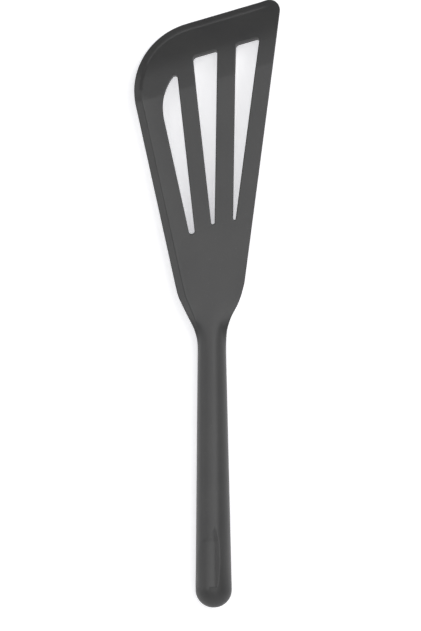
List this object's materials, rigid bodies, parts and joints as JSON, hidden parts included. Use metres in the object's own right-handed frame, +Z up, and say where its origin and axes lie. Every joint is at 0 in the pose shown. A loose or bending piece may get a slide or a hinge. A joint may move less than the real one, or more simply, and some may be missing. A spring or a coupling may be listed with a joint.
{
  "type": "fish spatula",
  "caption": "Slotted fish spatula with a bent, lipped blade and a round tapered handle, moulded in silicone over a steel insert and a stiff core.",
  "frame": {"origin": "middle of the footprint, on the surface that the spatula lies on", "axes": "+Y towards the blade's front edge, along the handle; +X towards the blade's straight side; +Z up out of the blade's top face"},
  "size_m": [0.0794, 0.33, 0.0196],
  "materials": {
    "silicone": "satin",
    "spring_steel": "brushed",
    "core_plastic": "matte",
    "rivet_steel": "satin"
  },
  "bodies": {
    "root": {"silicone_skin": "silicone", "blade_insert": "spring_steel", "handle_core": "core_plastic", "tang_rivets": "rivet_steel"}
  },
  "joints": []
}
